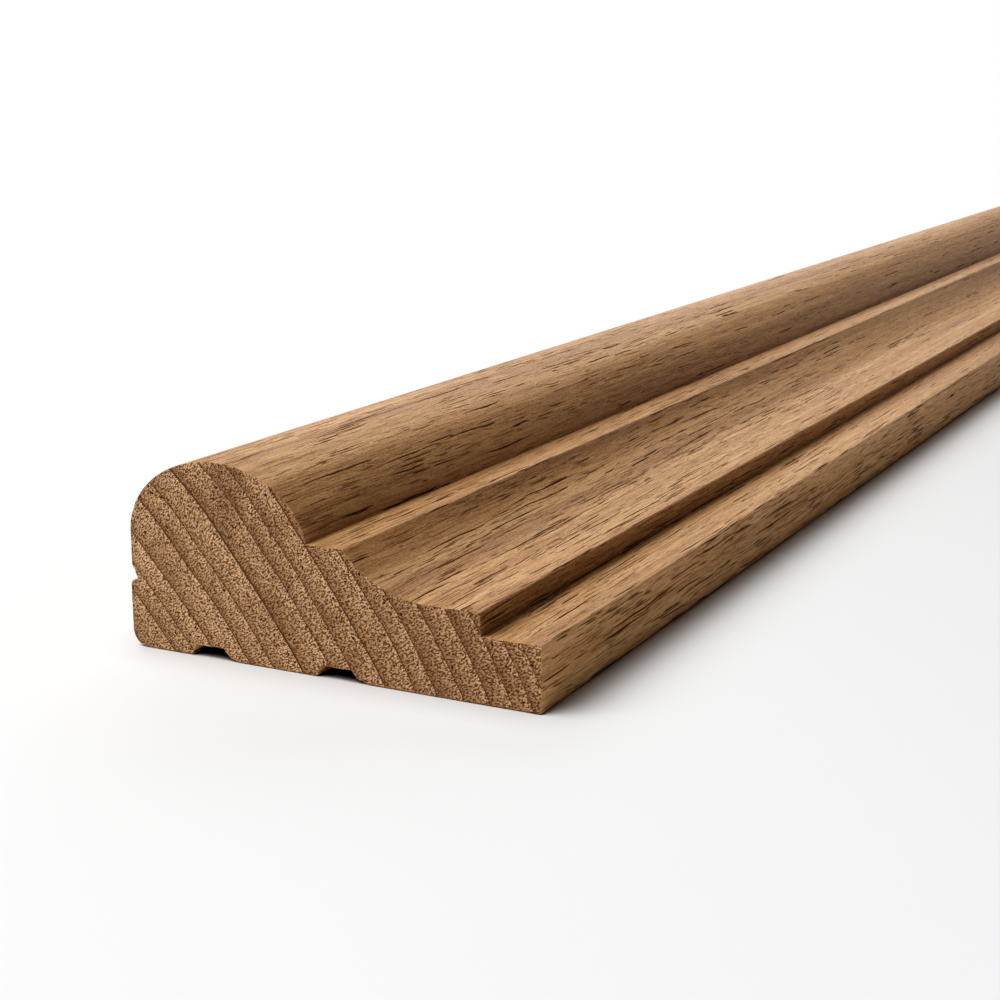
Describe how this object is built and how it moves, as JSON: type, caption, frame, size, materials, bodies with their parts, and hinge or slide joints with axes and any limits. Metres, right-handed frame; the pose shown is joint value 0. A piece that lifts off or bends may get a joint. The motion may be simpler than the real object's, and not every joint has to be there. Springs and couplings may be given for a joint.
{
  "type": "teak moulding",
  "caption": "Straight length of solid teak moulding with a tall bead, a fillet, a cove, a stepped shelf and a thin land, fixed flat on its relieved back as trim.",
  "frame": {"origin": "middle of the back, halfway along the length, on the plane that the moulding lies on", "axes": "+Y along the length, +X across the face from the thick bead edge to the thin edge, +Z out of the face, up from the back"},
  "size_m": [0.07, 1.5, 0.0305],
  "materials": {
    "teak": "planed and sanded, unfinished, satin to matte"
  },
  "bodies": {
    "root": {"moulding": "teak"}
  },
  "joints": []
}
